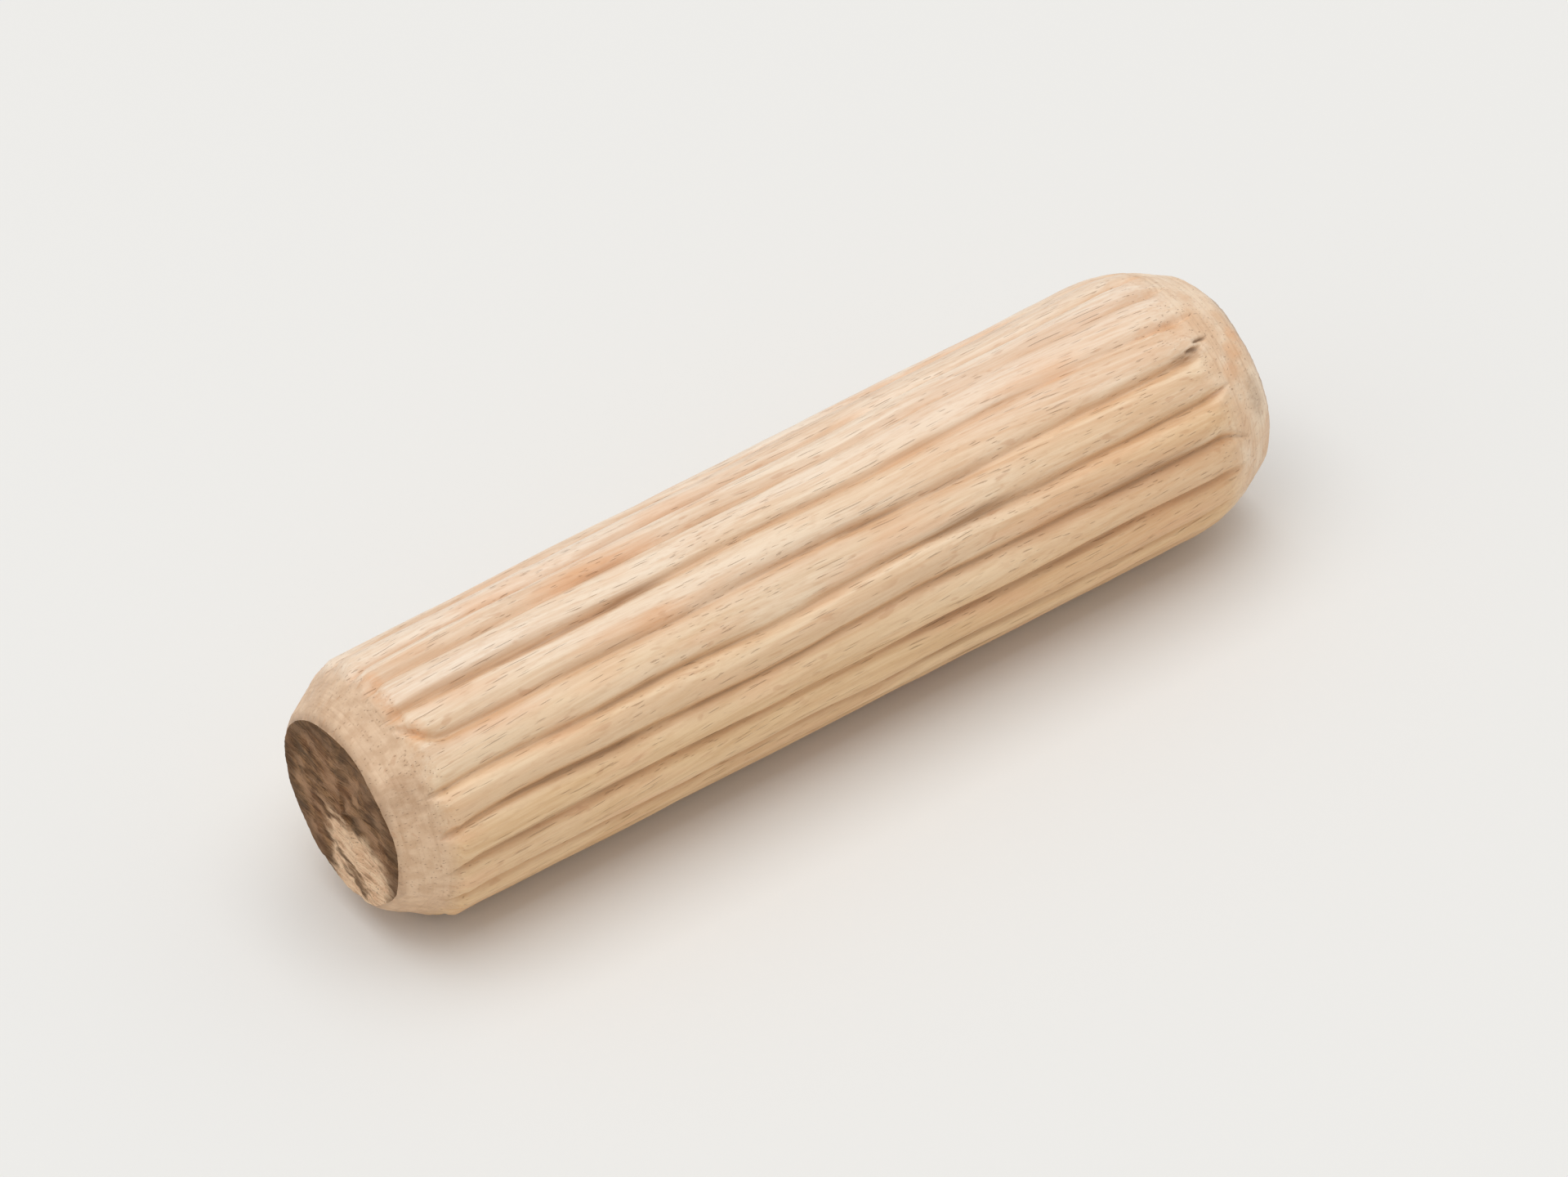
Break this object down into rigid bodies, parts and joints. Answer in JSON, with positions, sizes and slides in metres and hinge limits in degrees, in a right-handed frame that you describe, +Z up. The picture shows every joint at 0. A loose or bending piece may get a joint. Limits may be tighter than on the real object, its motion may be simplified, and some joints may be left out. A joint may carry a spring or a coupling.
{
  "type": "dowel pin",
  "caption": "Fluted beech dowel pin with tapered ends, glued into two matching holes to line up and join wooden parts.",
  "frame": {"origin": "middle of the pin, on its axis", "axes": "+X along the pin's axis, +Z up as the pin lies on its side on two ribs"},
  "size_m": [0.03, 0.008, 0.008],
  "materials": {
    "beech": "bare, unfinished beech with fine grain"
  },
  "bodies": {
    "root": {"dowel_pin": "beech"}
  },
  "joints": []
}
